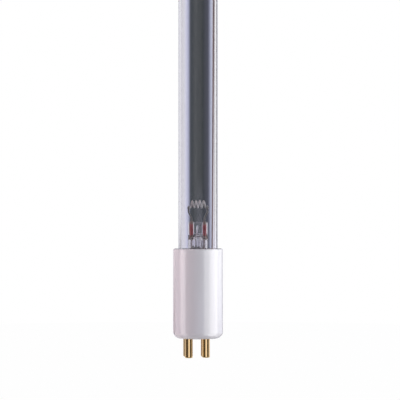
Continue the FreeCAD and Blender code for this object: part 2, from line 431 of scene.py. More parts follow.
@dataclass(frozen=True)
class Finish:
    """A finish with its material and the record's slot that it stands for."""

    name: str
    slot: str

    def shade(self, board: NodeBoard) -> Socket:
        """The shader of the finish."""
        raise NotImplementedError

    def material(self) -> bpy.types.Material:
        """The finish's material, made on first use.

        Returns:
            The material, which all pieces of this finish share.
        """
        if self.name in bpy.data.materials:
            return bpy.data.materials[self.name]
        made = bpy.data.materials.new(self.name)
        made.use_nodes = True
        board = NodeBoard(made.node_tree)
        board.add("ShaderNodeOutputMaterial", {"Surface": self.shade(board)})
        return made


@dataclass(frozen=True)
class ClearGlass(Finish):
    """Drawn lamp glass, nearly clear, with faint draw lines along the tube."""

    tint: Colour = (0.86, 0.855, 0.88)
    shadow_tint: Colour = (0.93, 0.93, 0.94)
    ior: float = 1.46
    line_scale: float = 300.0
    line_fine: float = 3.0
    line_stretch: float = 0.01
    line_strength: float = 0.008
    line_depth: float = 0.00005

    def shade(self, board: NodeBoard) -> Socket:
        """Refracting glass that lets the lamps' light through to what it holds.

        Args:
            board: The material's nodes.

        Returns:
            The glass shader, clear to shadow rays.
        """
        grain = board.add("ShaderNodeGroup", {
            "Scale": self.line_scale, "Stretch": self.line_stretch, "Fine": self.line_fine},
            node_tree=grain_group())
        bump = board.add("ShaderNodeBump", {"Strength": self.line_strength, "Distance": self.line_depth,
                                            "Height": grain.outputs["Height"]})
        glass = board.add("ShaderNodeBsdfPrincipled", {
            "Base Color": (*self.tint, 1.0), "Roughness": 0.0, "IOR": self.ior,
            "Transmission Weight": 1.0, "Normal": bump.outputs["Normal"]})
        clear = board.add("ShaderNodeBsdfTransparent", {"Color": (*self.shadow_tint, 1.0)})
        light = board.add("ShaderNodeLightPath")
        return board.add("ShaderNodeMixShader", {0: light.outputs["Is Shadow Ray"], 1: glass.outputs[0],
                                                 2: clear.outputs[0]}).outputs[0]


@dataclass(frozen=True)
class Mottled(Finish):
    """An opaque finish whose colour, roughness and surface vary softly."""

    low: Colour = (0.8, 0.8, 0.8)
    high: Colour = (0.9, 0.9, 0.9)
    tone_places: tuple[float, float] = (0.25, 0.75)
    contrast: float = 2.2
    metallic: float = 0.0
    smooth: float = 0.3
    rough: float = 0.45
    coat: float = 0.0
    coat_rough: float = 0.12
    scale: float = 350.0
    fine: float = 6.0
    stretch: float = 1.0
    relief: float = 0.1
    relief_depth: float = 0.00003

    def tone(self, board: NodeBoard, mask: Socket) -> Socket:
        """The colour between the finish's two tones, by the grain's mask."""
        return board.ramp(mask, zip(self.tone_places, (self.low, self.high)))

    def shade(self, board: NodeBoard) -> Socket:
        """A Principled shader fed by the shared grain.

        Args:
            board: The material's nodes.

        Returns:
            The shader.
        """
        grain = board.add("ShaderNodeGroup", {
            "Scale": self.scale, "Fine": self.fine, "Stretch": self.stretch, "Contrast": self.contrast},
            node_tree=grain_group())
        colour = self.tone(board, grain.outputs["Mask"])
        roughness = board.add("ShaderNodeMapRange", {
            "Value": grain.outputs["Mask"], "To Min": self.smooth, "To Max": self.rough}).outputs[0]
        bump = board.add("ShaderNodeBump", {"Strength": self.relief, "Distance": self.relief_depth,
                                            "Height": grain.outputs["Height"]})
        return board.add("ShaderNodeBsdfPrincipled", {
            "Base Color": colour, "Metallic": self.metallic, "Roughness": roughness,
            "Coat Weight": self.coat, "Coat Roughness": self.coat_rough,
            "Normal": bump.outputs["Normal"]}).outputs[0]


@dataclass(frozen=True)
class BeadedWire(Mottled):
    """A wire with a band of coloured glaze between bare ends, by its distance from the tube's middle."""

    bare: Colour = (0.5, 0.4, 0.36)
    band: tuple[float, float] = (0.0675, 0.0722)
    fade: float = 0.0004
    blotch: float = 0.0009

    def tone(self, board: NodeBoard, mask: Socket) -> Socket:
        """The glaze's colour inside the band and the bare metal's outside it.

        Args:
            board: The material's nodes.
            mask: The grain's mask, which also makes the band's edges uneven.

        Returns:
            The colour.
        """
        glaze = super().tone(board, mask)
        place = board.add("ShaderNodeTexCoord").outputs["Object"]
        height = board.add("ShaderNodeSeparateXYZ", {0: place}).outputs["Z"]
        away = board.maths("ABSOLUTE", board.maths("SUBTRACT", height, TUBE_MIDDLE))
        spread = board.maths("MULTIPLY", board.maths("SUBTRACT", mask, 0.5), self.blotch)
        uneven = board.maths("ADD", away, spread)
        low, high = self.band
        enters = board.rise(uneven, low, low + self.fade)
        leaves = board.rise(uneven, high, high - self.fade)
        return board.mix(board.maths("MULTIPLY", enters, leaves), (*self.bare, 1.0), glaze)


TUBE_GLASS = ClearGlass("tube_glass", "glass")
STEM_GLASS = ClearGlass("stem_glass", "glass", tint=(0.95, 0.95, 0.955), line_strength=0.02)
CAP_CERAMIC = Mottled("cap_ceramic", "cap_ceramic", low=(0.82, 0.812, 0.91), high=(0.85, 0.842, 0.935),
                      smooth=0.3, rough=0.4, coat=0.45, coat_rough=0.08, scale=260.0, relief=0.03)
PIN_BRASS = Mottled("pin_brass", "pin_brass", low=(0.82, 0.54, 0.24), high=(0.92, 0.65, 0.33), metallic=1.0,
                    smooth=0.03, rough=0.09, scale=900.0, stretch=4.0, relief=0.04)
LEAD_NICKEL = Mottled("lead_nickel", "lead_wire", low=(0.32, 0.315, 0.31), high=(0.6, 0.59, 0.575),
                      metallic=1.0, smooth=0.25, rough=0.45, scale=1800.0, stretch=0.2)
RETURN_NICKEL = Mottled("return_nickel", "return_wire", low=(0.33, 0.25, 0.25), high=(0.48, 0.38, 0.38),
                        metallic=0.6, smooth=0.35, rough=0.55, scale=1200.0, stretch=0.1)
SEAL_GLAZE = BeadedWire("seal_glaze", "seal_wire", low=(0.45, 0.1, 0.125), high=(0.92, 0.36, 0.4),
                        smooth=0.3, rough=0.55, scale=700.0, fine=3.0)
TAIL_COPPER = Mottled("tail_copper", "copper_wire", low=(0.93, 0.84, 0.83), high=(0.98, 0.92, 0.91),
                      smooth=0.2, rough=0.4, scale=1500.0, stretch=0.2)
COIL_COATING = Mottled("coil_coating", "coated_coil", low=(0.72, 0.72, 0.72), high=(0.92, 0.92, 0.91),
                       smooth=0.75, rough=0.95, scale=2600.0, relief=0.3, relief_depth=0.00004)
CEMENT = Mottled("base_cement_grey", "cement", low=(0.74, 0.73, 0.7), high=(0.9, 0.89, 0.86),
                 smooth=0.8, rough=0.95, scale=900.0, relief=0.6, relief_depth=0.00008)
MERCURY = Mottled("mercury_mirror", "mercury", low=(0.8, 0.81, 0.83), high=(0.86, 0.87, 0.89),
                  metallic=1.0, smooth=0.02, rough=0.06, relief=0.0)


def piece(name: str, mesh: Mesh, finish: Finish, nodes: Sequence[str], sharp: float = 40.0) -> SceneObject:
    """Turns a bmesh into a finished piece of the lamp that stands for CAD nodes.

    Args:
        name: The piece's name.
        mesh: Its shape in the row frame, which is freed here.
        finish: Its finish.
        nodes: The CAD nodes that it replaces.
        sharp: Angle in degrees past which an edge stays sharp.

    Returns:
        The piece, riding on the lamp's one body.
    """
    for face in mesh.faces:
        face.smooth = True
    for edge in mesh.edges:
        edge.smooth = degrees(edge.calc_face_angle(0.0)) < sharp
    data = bpy.data.meshes.new(name)
    mesh.to_mesh(data)
    mesh.free()
    made = bpy.data.objects.new(name, data)
    bpy.context.scene.collection.objects.link(made)
    data.materials.append(finish.material())
    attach(made, "root")
    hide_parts(*nodes)
    LOG.info("%s: %d faces for %s", name, len(data.polygons), ", ".join(nodes))
    return made


# Sub-assemblies of the lamp

@dataclass
class GlassTube:
    """The drawn tube, necked in over rounded shoulders at both ends. Sizes in millimetres."""

    wall: float = 1.0
    shoulder_inner_round: float = 1.0
    sides: int = 256
    bottom: float = field(init=False)
    top: float = field(init=False)
    radius: float = field(init=False)

    def __post_init__(self) -> None:
        """Reads the tube's place from the frame."""
        low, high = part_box("glass_tube")
        self.bottom, self.top, self.radius = low.z / MM, high.z / MM, high.x / MM

    @property
    def neck(self) -> float:
        """Radius of the necks that the stems close."""
        return self.radius - self.wall - self.shoulder_inner_round

    def build(self) -> SceneObject:
        """The tube as one closed wall of glass.

        Returns:
            The tube.
        """
        outside = self.shoulder_inner_round + self.wall
        outline = rounded([
            corner(self.neck, self.bottom), corner(self.radius, self.bottom, outside),
            corner(self.radius, self.top, outside), corner(self.neck, self.top),
            corner(self.neck, self.top - self.wall),
            corner(self.radius - self.wall, self.top - self.wall, self.shoulder_inner_round),
            corner(self.radius - self.wall, self.bottom + self.wall, self.shoulder_inner_round),
            corner(self.neck, self.bottom + self.wall)], steps=12, closed=True)
        return piece("clear_tube", spun(outline, self.sides, True), TUBE_GLASS, ["glass_tube"])


@dataclass
class ContactPin:
    """A hollow turned pin with a dimpled round tip. Sizes in millimetres."""

    number: int
    radius: float = 1.5
    shank: float = 1.7
    shank_lip: float = 0.02
    shank_round: float = 0.03
    collar: float = 2.0
    collar_height: float = 1.0
    collar_round: float = 0.1
    bore: float = 0.7
    bore_round: float = 0.08
    tip_round: float = 0.8
    tip_wall: float = 1.6
    dimple: float = 0.6
    dimple_depth: float = 0.25
    dimple_round: float = 0.12
    sides: int = 64

    @property
    def node(self) -> str:
        """The pin's CAD node."""
        return f"contact_pin_{self.number}"

    @property
    def spot(self) -> Vector:
        """The pin's place on the cap's end face, in metres."""
        low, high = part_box(self.node)
        return Vector(((low.x + high.x) / 2, (low.y + high.y) / 2, 0.0))

    @property
    def top(self) -> float:
        """Height of the top of the pin's collar."""
        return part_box(self.node)[1].z / MM

    def build(self) -> SceneObject:
        """The pin, turned about its own axis and set in its place.

        Returns:
            The pin.
        """
        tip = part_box(self.node)[0].z / MM
        floor = self.top - self.collar_height
        outline = rounded([
            corner(0, tip + self.dimple_depth), corner(self.dimple, tip, self.dimple_round),
            corner(self.radius, tip, self.tip_round), corner(self.radius, 0, self.shank_lip),
            corner(self.shank, 0, self.shank_round), corner(self.shank, floor), corner(self.collar, floor),
            corner(self.collar, self.top, self.collar_round), corner(self.bore, self.top, self.bore_round),
            corner(self.bore, tip + self.tip_wall), corner(0, tip + self.tip_wall)], steps=8)
        mesh = spun(outline, self.sides, False)
        bmesh.ops.translate(mesh, vec=self.spot, verts=mesh.verts)
        return piece(f"brass_pin_{self.number}", mesh, PIN_BRASS, [self.node])


@dataclass
class CeramicCap:
    """A glazed cap with a blind bore that holds a tube end in cement. Sizes in millimetres."""

    end: LampEnd
    floor: float
    end_round: float = 2.6
    mouth_round: float = 0.5
    floor_round: float = 0.5
    wall: float = 1.3
    hole: float = 1.75
    drill_margin: float = 1.0
    sides: int = 192

    def build(self, pins: Sequence[ContactPin] = ()) -> SceneObject:
        """The cap, drilled for its pins.

        Args:
            pins: The pins that pass through the cap's floor.

        Returns:
            The cap.
        """
        node = f"{self.end.value}_cap"
        low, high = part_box(node)
        length, radius = (high.z - low.z) / MM, high.x / MM
        bore = radius - self.wall
        outline = rounded([
            corner(0, 0), corner(radius, 0, self.end_round), corner(radius, length, self.mouth_round),
            corner(bore, length, self.mouth_round), corner(bore, self.floor, self.floor_round),
            corner(0, self.floor)], steps=12)
        mesh = spun(outline, self.sides, False)
        if self.end is LampEnd.FAR:
            mesh = mirrored(mesh, 0.0)
        closed_end = low.z if self.end is LampEnd.BASE else high.z
        bmesh.ops.translate(mesh, vec=(0, 0, closed_end), verts=mesh.verts)
        for pin in pins:
            start = pin.spot - UP * self.drill_margin * MM
            end = pin.spot + UP * (self.floor + self.drill_margin) * MM
            mesh = carved(mesh, rod(self.hole * MM, start, end))
        return piece(f"{self.end.value}_ceramic_cap", mesh, CAP_CERAMIC, [node])


@dataclass
class ElectrodeMount:
    """A flared stem with its flat press, sealed wires, hooked leads and coiled filament.

    Sizes are in millimetres.
    """

    end: LampEnd
    tube: GlassTube
    stem_radius: float = 3.8
    stem_wall: float = 0.8
    stem_height: float = 28.1
    stem_sides: int = 192
    press_height: float = 4.6
    press_taper: float = 2.2
    press_lobe: float = 1.25
    press_web: float = 1.0
    press_web_round: float = 0.6
    press_top_round: float = 0.4
    press_steps: int = 24
    hollow_taper: float = 1.2
    hollow_round: float = 0.4
    hollow_top_round: float = 0.5
    exhaust_radius: float = 1.6
    exhaust_bore: float = 0.8
    exhaust_tip: float = 1.0
    exhaust_root_round: float = 0.3
    vent_radius: float = 0.35
    vent_root_side: float = 0.5
    vent_mouth_side: float = 0.25
    vent_mouth_rise: float = 2.4
    vent_sides: int = 40
    seal_radius: float = 0.5
    seal_x: float = 2.45
    seal_head: float = 0.3
    seal_tail: float = 0.3
    lead_radius: float = 0.3
    lead_spread: float = 1.15
    lead_straight: float = 1.0
    lead_shoulder: float = 3.6
    wire_sides: int = 20
    hook_clearance: float = 0.03
    hook_drop: float = 1.1
    coil_rise: float = 6.8
    coil_radius: float = 1.28
    coil_turns: int = 4
    coil_steps: int = 8
    coil_hook_gap: float = 0.4
    coil_tail: float = 0.2
    strand_seat: float = 0.3
    strand_radius: float = 0.295
    strand_ridge: float = 0.035
    strand_pitch: float = 0.3
    strand_sides: int = 12
    ridge_spans: int = 6
    ridge_sharp: float = 80.0

    @property
    def press_top(self) -> float:
        """Height of the press's top."""
        return self.tube.bottom + self.stem_height

    @property
    def press_foot(self) -> float:
        """Height at which the press is fully flat."""
        return self.press_top - self.press_height

    @property
    def stem_top(self) -> float:
        """Height at which the round stem starts to flatten."""
        return self.press_foot - self.press_taper

    @property
    def exhaust_dome(self) -> float:
        """Height at which the exhaust tube's closed tip starts to round."""
        return self.tube.bottom + self.exhaust_tip + self.exhaust_radius

    @property
    def hook_x(self) -> float:
        """Distance of each hook from the lamp's axis."""
        return self.seal_x + self.lead_spread

    @property
    def hook_radius(self) -> float:
        """Radius of a hook's bend about the coil's tail."""
        return self.strand_seat + self.hook_clearance + self.lead_radius

    @property
    def coil_reach(self) -> float:
        """Distance of the coil's corners from its axis, before its arcs."""
        return self.coil_radius / cos(pi / self.coil_steps)

    @property
    def hook_z(self) -> float:
        """Height of the coil's tails, in the hooks' eyes."""
        return self.press_top + self.coil_rise - self.coil_reach

    def at_end(self, mesh: Mesh) -> Mesh:
        """The mesh at this mount's end of the tube."""
        return mesh if self.end is LampEnd.BASE else mirrored(mesh, TUBE_MIDDLE)

    def build(self) -> None:
        """Builds the whole mount."""
        self.build_stem()
        for side in Side:
            self.build_seal(side)
            self.build_lead(side)
        self.build_coil()

    def stem_outline(self) -> list[Vector]:
        """The stem's outline before its top is pressed flat.

        Returns:
            Points in the XZ plane, from the press's top down the outside and up the inside.
        """
        bottom, neck = self.tube.bottom, self.tube.neck
        flare = neck - self.stem_radius
        inside = self.stem_radius - self.stem_wall
        hollow_top = self.stem_top + self.hollow_taper
        skin = [corner(0, self.press_top), corner(self.stem_radius, self.press_top, self.press_top_round)]
        for step in range(1, self.press_steps + 1):
            height = self.press_top - (self.press_top - self.stem_top) * step / self.press_steps
            skin.append(corner(self.stem_radius, height))
        rim_top = bottom + self.tube.wall
        rim = [corner(self.stem_radius, rim_top, flare), corner(neck, rim_top), corner(neck, bottom),
               corner(inside, bottom, flare + self.stem_wall),
               corner(inside, self.stem_top, self.hollow_round)]
        if self.end is LampEnd.BASE:
            tip = self.exhaust_dome - self.exhaust_radius
            crown = [corner(self.exhaust_radius, hollow_top, self.exhaust_root_round),
                     corner(self.exhaust_radius, tip, self.exhaust_radius), corner(0, tip)]
        else:
            crown = [corner(self.exhaust_radius, hollow_top, self.hollow_top_round), corner(0, hollow_top)]
        return rounded(skin + rim + crown, steps=10)

    def press_point(self, turn: float, inset: float) -> Vector:
        """A point on the press's section: a flat web between two round lobes about the wires.

        Args:
            turn: Share of the way round one quarter of the section, from +X at 0 to +Y at 1.
            inset: Distance in from the section's edge in millimetres.

        Returns:
            The point in millimetres, in the XY plane.
        """
        hollow_y = self.press_web + self.press_web_round
        hollow_x = self.seal_x - sqrt((self.press_lobe + self.press_web_round) ** 2 - hollow_y ** 2)
        lobe_angle = atan2(hollow_y, hollow_x - self.seal_x)
        lobe = self.press_lobe * lobe_angle
        hollow = self.press_web_round * (lobe_angle - pi / 2)
        run = turn * (lobe + hollow + hollow_x)
        if run < lobe:
            way = Vector((cos(run / self.press_lobe), sin(run / self.press_lobe)))
            return Vector((self.seal_x, 0)) + way * (self.press_lobe - inset)
        if run < lobe + hollow:
            angle = lobe_angle - pi - (run - lobe) / self.press_web_round
            way = Vector((cos(angle), sin(angle)))
            return Vector((hollow_x, hollow_y)) + way * (self.press_web_round + inset)
        return Vector((hollow_x - (run - lobe - hollow), self.press_web - inset))

    def pressed(self, mesh: Mesh) -> Mesh:
        """Presses the round stem's top to the flat section, over a smooth taper.

        Args:
            mesh: The round stem, which is changed.

        Returns:
            The same mesh.
        """
        face_rim = self.stem_radius - self.press_top_round
        inside = (self.stem_radius - self.stem_wall / 2) * MM
        for vert in mesh.verts:
            rise = vert.co.z / MM - self.stem_top
            if rise <= 0 or (vert.co.xy.length < inside and rise < self.press_height):
                continue
            share = min(1.0, rise / self.press_taper)
            share = share * share * (3 - 2 * share)
            reach = vert.co.xy.length / MM
            turn = abs(atan2(vert.co.y, abs(vert.co.x))) / (pi / 2)
            place = self.press_point(turn, self.stem_radius - max(reach, face_rim))
            place = place * min(1.0, reach / face_rim) * MM
            place.x *= -1 if vert.co.x < 0 else 1
            place.y *= -1 if vert.co.y < 0 else 1
            vert.co.xy = vert.co.xy.lerp(place, share)
        return mesh

    def build_stem(self) -> SceneObject:
        """The stem, spun round, pressed flat at its top and bored at the base end.

        Returns:
            The stem.
        """
        mesh = self.pressed(spun(self.stem_outline(), self.stem_sides, False))
        if self.end is LampEnd.BASE:
            foot = self.press_foot
            mesh = carved(mesh, rod(self.exhaust_bore * MM, UP * self.exhaust_dome * MM, UP * foot * MM))
            root = Vector((-self.vent_root_side, 0, foot - self.vent_radius)) * MM
            mouth = Vector((-self.vent_mouth_side, -self.press_web, foot + self.vent_mouth_rise)) * MM
            vent = rod(self.vent_radius * MM, root, root + 2 * (mouth - root), self.vent_sides)
            mesh = carved(mesh, vent)
        end = self.end.value
        return piece(f"{end}_glass_stem", self.at_end(mesh), STEM_GLASS, [f"{end}_stem"])

    def wire(self, name: str, route: Sequence[Corner], radius: float, finish: Finish,
             node: str) -> SceneObject:
        """A round wire along a route of this mount."""
        mesh = swept(rounded(route, steps=10), lambda run: radius * MM, self.wire_sides)
        return piece(name, self.at_end(mesh), finish, [node])

    def build_seal(self, side: Side) -> SceneObject:
        """The red glazed stretch of wire that the press grips.

        Args:
            side: The wire's side.

        Returns:
            The wire.
        """
        x = side.value * self.seal_x
        route = [corner(x, self.stem_top - self.seal_tail), corner(x, self.press_top + self.seal_head)]
        end = self.end.value
        return self.wire(f"{end}_red_seal_{side.word}", route, self.seal_radius, SEAL_GLAZE,
                         f"{end}_seal_wire_{side.word}")

    def build_lead(self, side: Side) -> SceneObject:
        """The lead from the seal to the hook that holds one end of the coil.

        Args:
            side: The lead's side.

        Returns:
            The lead.
        """
        x, hook_x = side.value * self.seal_x, side.value * self.hook_x
        foot = self.press_top + self.seal_head
        bend = self.hook_radius
        hook_top = self.hook_z + bend
        places = [(x, 0.0, foot), (x, 0.0, foot + self.lead_straight),
                  (hook_x, -bend, foot + self.lead_shoulder), (hook_x, -bend, hook_top),
                  (hook_x, bend, hook_top), (hook_x, bend, self.hook_z - self.hook_drop)]
        route = [Corner(Vector(place) * MM, bend * MM) for place in places]
        end = self.end.value
        return self.wire(f"{end}_hooked_lead_{side.word}", route, self.lead_radius, LEAD_NICKEL,
                         f"{end}_lead_wire_{side.word}")

    def build_coil(self) -> SceneObject:
        """The coated coil, ridged by the fine winding under its coating.

        Returns:
            The coil, with its tails in the hooks.
        """
        reach = self.coil_reach
        axis_z = self.press_top + self.coil_rise
        half_length = self.hook_x - self.lead_radius - self.coil_hook_gap
        tail_x = self.hook_x + self.lead_radius + self.coil_tail
        steps = self.coil_turns * self.coil_steps
        places = [(-tail_x, 0.0, self.hook_z)]
        for step in range(steps + 1):
            angle = 2 * pi * step / self.coil_steps
            along = half_length * (2 * step / steps - 1)
            places.append((along, reach * sin(angle), axis_z - reach * cos(angle)))
        places.append((tail_x, 0.0, self.hook_z))
        route = rounded([Corner(Vector(place) * MM, 2 * self.coil_radius * MM) for place in places], steps=6)

        def radius(run: float) -> float:
            """The strand's radius, swelling over each turn of the fine winding."""
            dip = self.strand_ridge * abs(sin(pi * run / (self.strand_pitch * MM)))
            return (self.strand_radius - dip) * MM

        mesh = swept(spaced(route, self.strand_pitch * MM / self.ridge_spans), radius, self.strand_sides)
        end = self.end.value
        return piece(f"{end}_coated_coil", self.at_end(mesh), COIL_COATING, [f"{end}_filament"],
                     sharp=self.ridge_sharp)


@dataclass
class Wiring:
    """The wires that join the electrodes to the pins. Sizes in millimetres."""

    tube: GlassTube
    pins: Sequence[ContactPin]
    seal_x: float = ElectrodeMount.seal_x
    tail_radius: float = 0.3
    return_radius: float = 0.27
    clearance: float = 0.12
    front_angles: tuple[float, float] = (-48.5, -33.0)
    rear_angles: tuple[float, float] = (38.0, 24.0)
    bend: float = 2.0
    in_pin: float = 8.5
    tail_drop: float = 1.6
    entry_rise: float = 2.4
    turn_up_rise: float = 5.6
    over_end: float = 2.0
    sides: int = 16

    def build(self) -> None:
        """Builds the two tails and the two return wires."""
        wide_front, wide_rear, narrow_front, narrow_rear = self.pins
        self.lay_tail(Side.LEFT, wide_front)
        self.lay_tail(Side.RIGHT, wide_rear)
        self.lay_return(ReturnWire.FRONT, Side.RIGHT, narrow_front, self.front_angles)
        self.lay_return(ReturnWire.REAR, Side.LEFT, narrow_rear, self.rear_angles)

    def lay_tail(self, side: Side, pin: ContactPin) -> SceneObject:
        """Lays a wire from a seal of the base mount down through the stem.

        Args:
            side: The seal's side.
            pin: The pin that the wire ends in.

        Returns:
            The wire.
        """
        node = f"base_tail_wire_{side.word}"
        x = side.value * self.seal_x
        start = [Vector((x, 0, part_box(node)[1].z / MM)), Vector((x, 0, self.tube.bottom - self.tail_drop))]
        return self.lay(f"copper_tail_{side.word}", node, self.tail_radius, TAIL_COPPER, start, pin)

    def lay_return(self, way: ReturnWire, side: Side, pin: ContactPin,
                   angles: tuple[float, float]) -> SceneObject:
        """Lays a wire from a seal of the far mount down the tube's outside, on a slight slant.

        Args:
            way: Which of the two wires it is.
            side: The far seal's side.
            pin: The pin that the wire ends in.
            angles: Degrees from +X at the base cap and at the far cap.

        Returns:
            The wire.
        """
        base_angle, far_angle = angles
        x = side.value * self.seal_x
        seal_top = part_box(f"far_seal_wire_{side.word}")[1].z / MM
        over = self.tube.top + self.over_end
        start = [Vector((x, 0, seal_top)), Vector((x, 0, over)), self.beside_tube(far_angle, over),
                 self.beside_tube(base_angle, pin.top + self.turn_up_rise)]
        return self.lay(f"{way.value}_return", f"return_wire_{way.value}", self.return_radius, RETURN_NICKEL,
                        start, pin)

    def beside_tube(self, angle: float, height: float) -> Vector:
        """A point of a return wire beside the tube, at an angle in degrees from +X."""
        track = self.tube.radius + self.clearance + self.return_radius
        return Vector((track * cos(radians(angle)), track * sin(radians(angle)), height))

    def lay(self, name: str, node: str, radius: float, finish: Finish, start: Sequence[Vector],
            pin: ContactPin) -> SceneObject:
        """Lays one wire from its electrode into its pin.

        Args:
            name: The piece's name.
            node: The CAD node that it replaces.
            radius: The wire's radius in millimetres.
            finish: The wire's finish.
            start: The first corners of its route, in millimetres.
            pin: The pin that it ends in.

        Returns:
            The wire.
        """
        spot = pin.spot / MM
        places = [*start, Vector((spot.x, spot.y, pin.top + self.entry_rise)),
                  Vector((spot.x, spot.y, pin.top - self.in_pin))]
        route = rounded([Corner(place * MM, self.bend * MM) for place in places], steps=8)
        return piece(name, swept(route, lambda run: radius * MM, self.sides), finish, [node])


@dataclass
class CementRing:
    """The cement between a cap's bore and the tube, with a sunk and grainy face. Sizes in millimetres."""

    end: LampEnd
    tube: GlassTube
    sink: float = 0.25
    sink_round: float = 1.0
    margin: float = 0.01
    sides: int = 128

    def build(self) -> SceneObject:
        """The ring, its face drawn down between the two walls.

        Returns:
            The ring.
        """
        node = f"{self.end.value}_cement"
        low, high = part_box(node)
        bottom, top, bore = low.z / MM, high.z / MM, high.x / MM
        face, back, inward = (top, bottom, -1) if self.end is LampEnd.BASE else (bottom, top, 1)
        inner, outer = self.tube.radius + self.margin, bore - self.margin
        middle = (bore + self.tube.radius) / 2
        outline = rounded([
            corner(inner, back), corner(outer, back), corner(outer, face),
            corner(middle, face + inward * self.sink, self.sink_round), corner(inner, face)],
            steps=6, closed=True)
        return piece(f"{self.end.value}_cement_ring", spun(outline, self.sides, True), CEMENT, [node])


@dataclass
class MercuryBead:
    """The bead of mercury, which its surface tension keeps round."""

    segments: int = 32
    rings: int = 20

    def build(self) -> SceneObject:
        """The bead, as wide as it is tall.

        Returns:
            The bead.
        """
        low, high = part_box("mercury_bead")
        mesh = bmesh.new()
        bmesh.ops.create_uvsphere(mesh, u_segments=self.segments, v_segments=self.rings,
                                  radius=(high.z - low.z) / 2)
        bmesh.ops.translate(mesh, vec=(low + high) / 2, verts=mesh.verts)
        return piece("mercury_drop", mesh, MERCURY, ["mercury_bead"])


# The studio

@dataclass(frozen=True)
class Softbox:
    """A flat light that faces the lamp from its azimuth. Sizes in metres, power in watts.

    The azimuth is in degrees from the camera's side, positive to the right.
    """

    name: str
    azimuth: float
    width: float
    tall: float
    power: float
    colour: Colour
    height: float = 0.0
    reach: float = 0.5
    shape: PanelShape = PanelShape.RECTANGLE

    def hang(self) -> SceneObject:
        """Hangs the softbox.

        Returns:
            The softbox, which gives no highlight and isn't seen through glass.
        """
        light = bpy.data.lights.new(self.name, "AREA")
        light.shape = self.shape.value
        light.size, light.size_y = self.width, self.tall
        light.energy = self.power
        light.color = self.colour
        box = bpy.data.objects.new(self.name, light)
        bpy.context.scene.collection.objects.link(box)
        way = Vector((sin(radians(self.azimuth)), -cos(radians(self.azimuth)), 0.0))
        box.location = way * self.reach + UP * self.height
        box.rotation_euler = way.to_track_quat("Z", "Y").to_euler()
        box.visible_glossy = False
        box.visible_transmission = False
        return box


ROOM_LIGHTS = (
    Softbox("right_softbox", azimuth=85.0, width=0.2, tall=0.5, height=0.1, power=2.0,
            colour=(0.99, 0.985, 1.0)),
    Softbox("left_softbox", azimuth=-78.0, width=0.2, tall=0.5, height=0.08, power=1.28,
            colour=(1.0, 0.7, 0.71)))
CAP_PANELS = (
    Softbox("wide_right_panel", azimuth=66.0, width=0.78, tall=1.1, power=8.6, colour=(1.0, 0.98, 0.98)),
    Softbox("right_panel", azimuth=78.0, width=0.42, tall=1.1, power=4.0, colour=(1.0, 0.98, 0.98)),
    Softbox("left_panel", azimuth=-74.0, width=0.27, tall=1.1, power=3.3, colour=(1.0, 0.97, 1.0)),
    Softbox("oval_panel", azimuth=117.0, width=0.268, tall=0.19, height=0.06, power=0.22,
            colour=(1.0, 0.98, 1.0), shape=PanelShape.OVAL))


